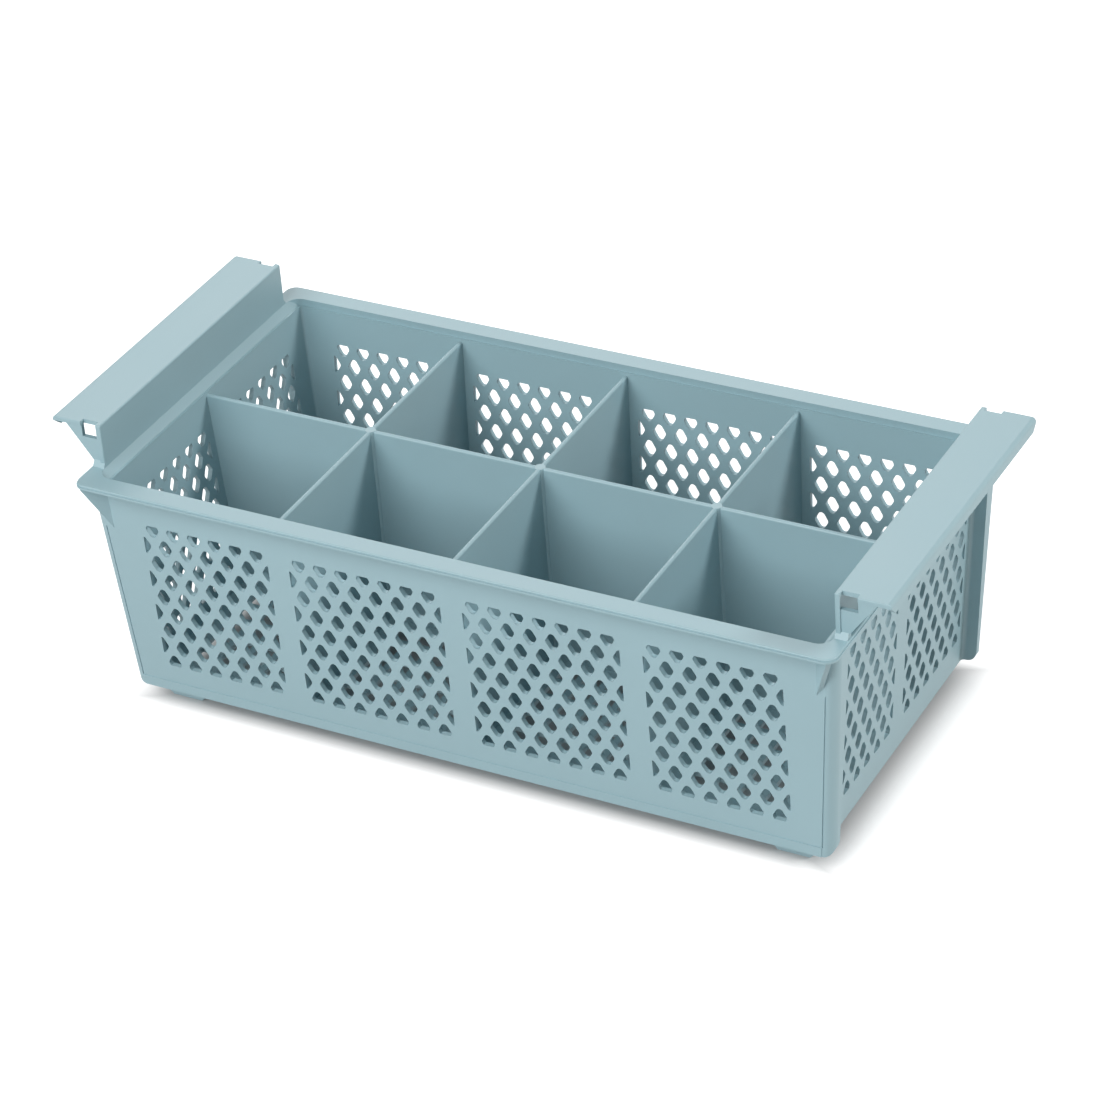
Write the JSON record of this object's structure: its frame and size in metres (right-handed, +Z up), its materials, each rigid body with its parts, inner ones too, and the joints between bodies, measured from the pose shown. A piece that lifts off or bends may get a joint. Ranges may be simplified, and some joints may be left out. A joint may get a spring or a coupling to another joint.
{
  "type": "dishwasher cutlery basket",
  "caption": "Long moulded plastic cutlery basket for a dishwasher, with pierced walls, dividers, a broad rim and a hollow handle across each end.",
  "frame": {"origin": "middle of the footprint, on the plane that the feet stand on", "axes": "+X along the length, +Y from the front wall to the back wall, +Z up"},
  "size_m": [0.43, 0.2022, 0.151],
  "materials": {
    "plastic": "satin moulded polypropylene, pale blue grey"
  },
  "bodies": {
    "root": {"basket": "plastic"}
  },
  "joints": []
}
